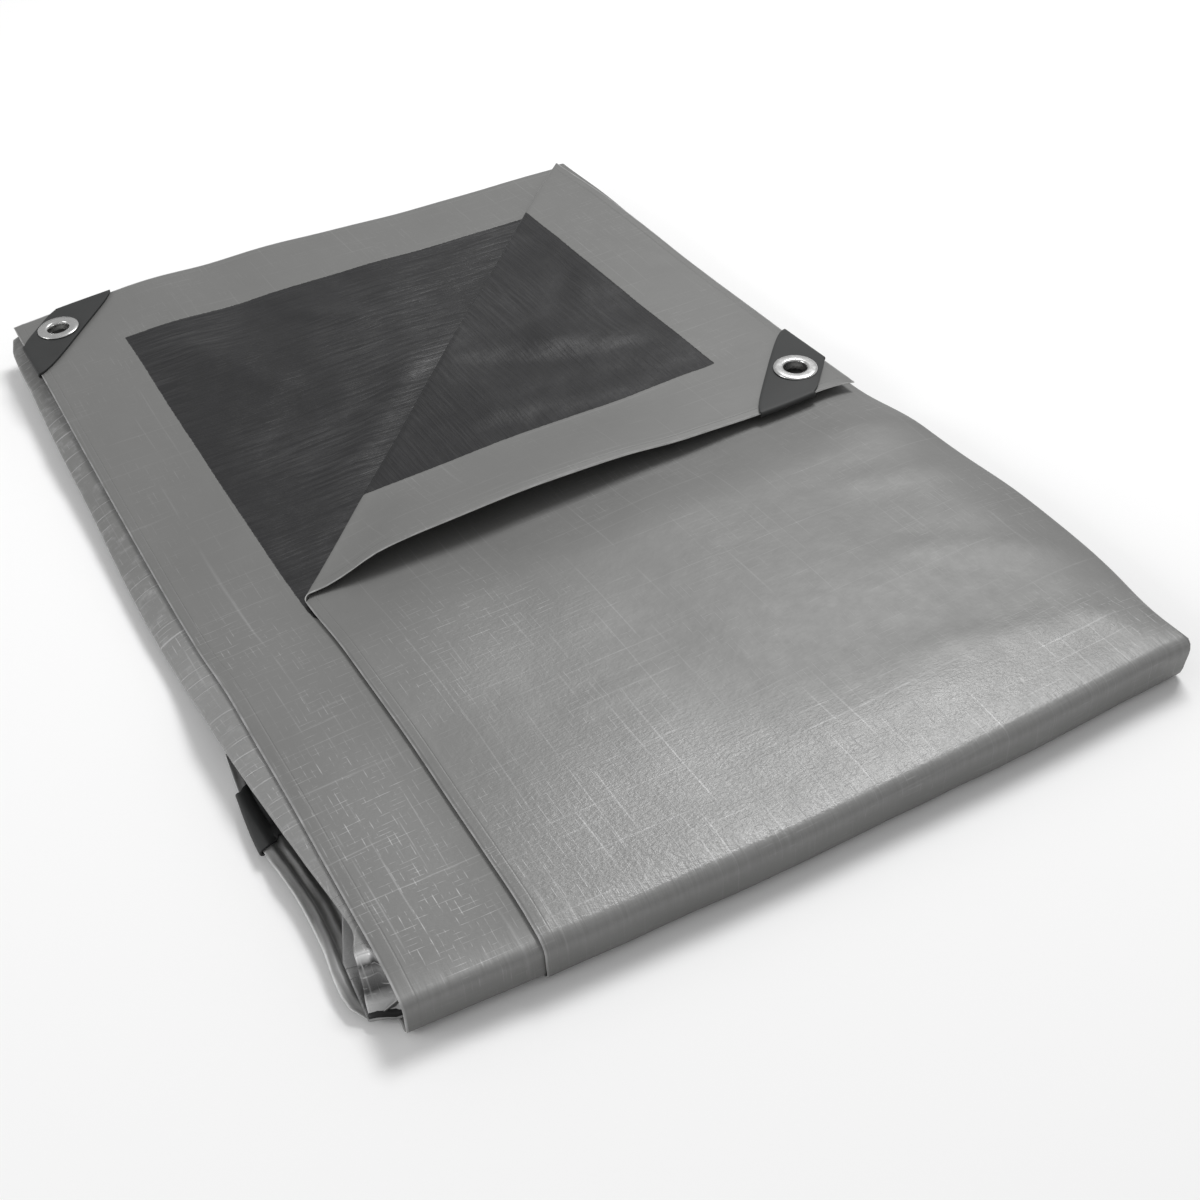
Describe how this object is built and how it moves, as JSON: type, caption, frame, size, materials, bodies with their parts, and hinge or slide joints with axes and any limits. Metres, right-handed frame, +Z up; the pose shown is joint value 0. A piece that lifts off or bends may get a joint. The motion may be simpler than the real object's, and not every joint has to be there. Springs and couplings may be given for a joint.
{
  "type": "folded tarp",
  "caption": "Laminated tarpaulin folded into a flat rectangular bundle, one corner turned back, with black corner patches and metal eyelets.",
  "frame": {"origin": "middle of the bundle's outline, on the surface it lies on", "axes": "+X along the front fold to the right, +Y from the front fold to the free end, +Z up"},
  "size_m": [0.372, 0.5324, 0.0289],
  "materials": {
    "sheet": "silver-grey woven laminate with a satin shine, black on the reverse",
    "patch": "fine-grained matte black",
    "eyelet": "bright pressed aluminium"
  },
  "bodies": {
    "root": {"sheet": "sheet", "patch_left": "patch", "patch_right": "patch", "patch_lower": "patch", "eyelet_left": "eyelet", "eyelet_right": "eyelet"}
  },
  "joints": []
}
